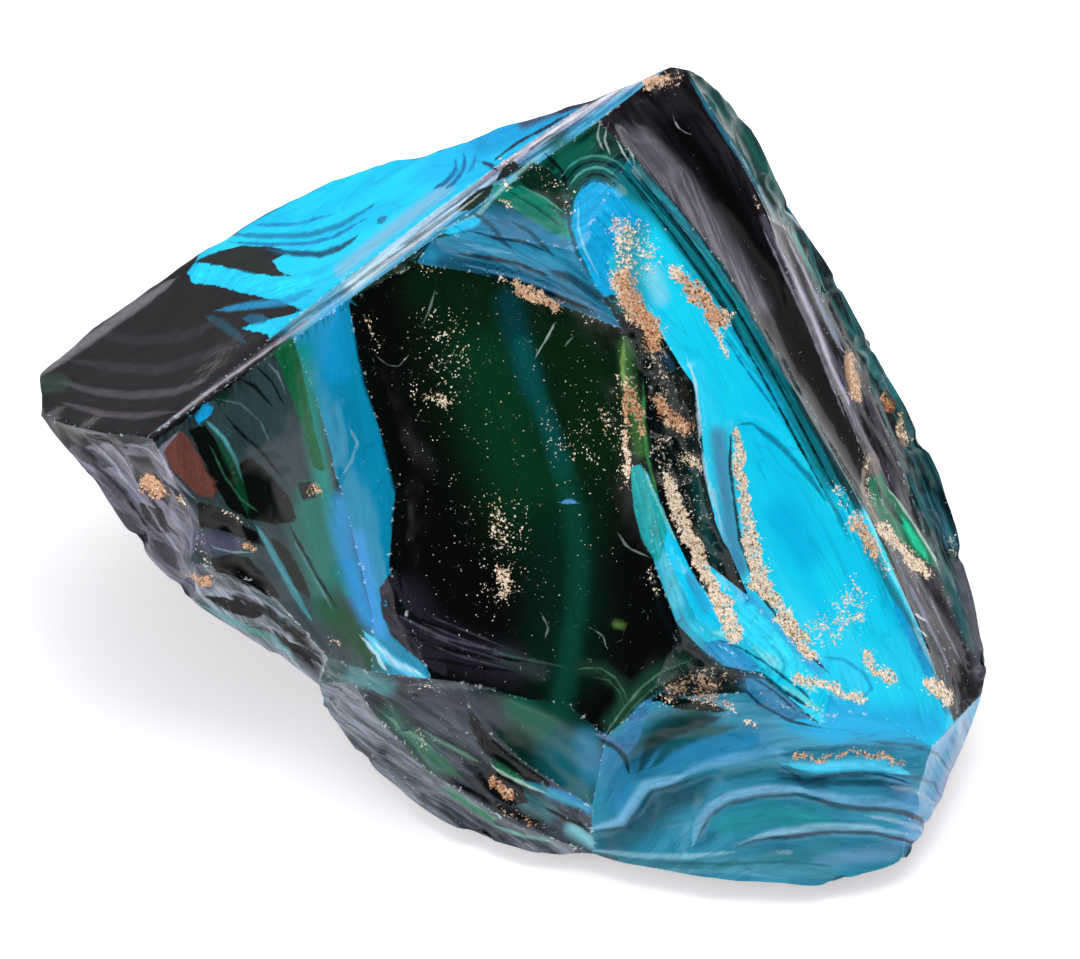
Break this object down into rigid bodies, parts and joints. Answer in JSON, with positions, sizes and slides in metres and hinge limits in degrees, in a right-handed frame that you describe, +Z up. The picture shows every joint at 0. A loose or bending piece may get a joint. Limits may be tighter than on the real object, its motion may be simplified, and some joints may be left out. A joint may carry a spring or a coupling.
{
  "type": "rough turquoise",
  "caption": "Broken lump of turquoise and dark green glassy mineral with copper-coloured flecks, hollowed by shell-shaped breaks, resting on a flat base.",
  "frame": {"origin": "middle of the bounding box on the table that the lump lies on", "axes": "+Z up, +X along the longest way, from the overhanging end to the low right end, +Y from the shown broken face to the back"},
  "size_m": [0.0816, 0.0616, 0.042],
  "materials": {
    "banded_glass": "glossy, opaque turquoise swirled with dark green and near-black",
    "copper_flecks": "fine matt metallic grains set in the seams"
  },
  "bodies": {
    "root": {"stone": "banded_glass"}
  },
  "joints": []
}
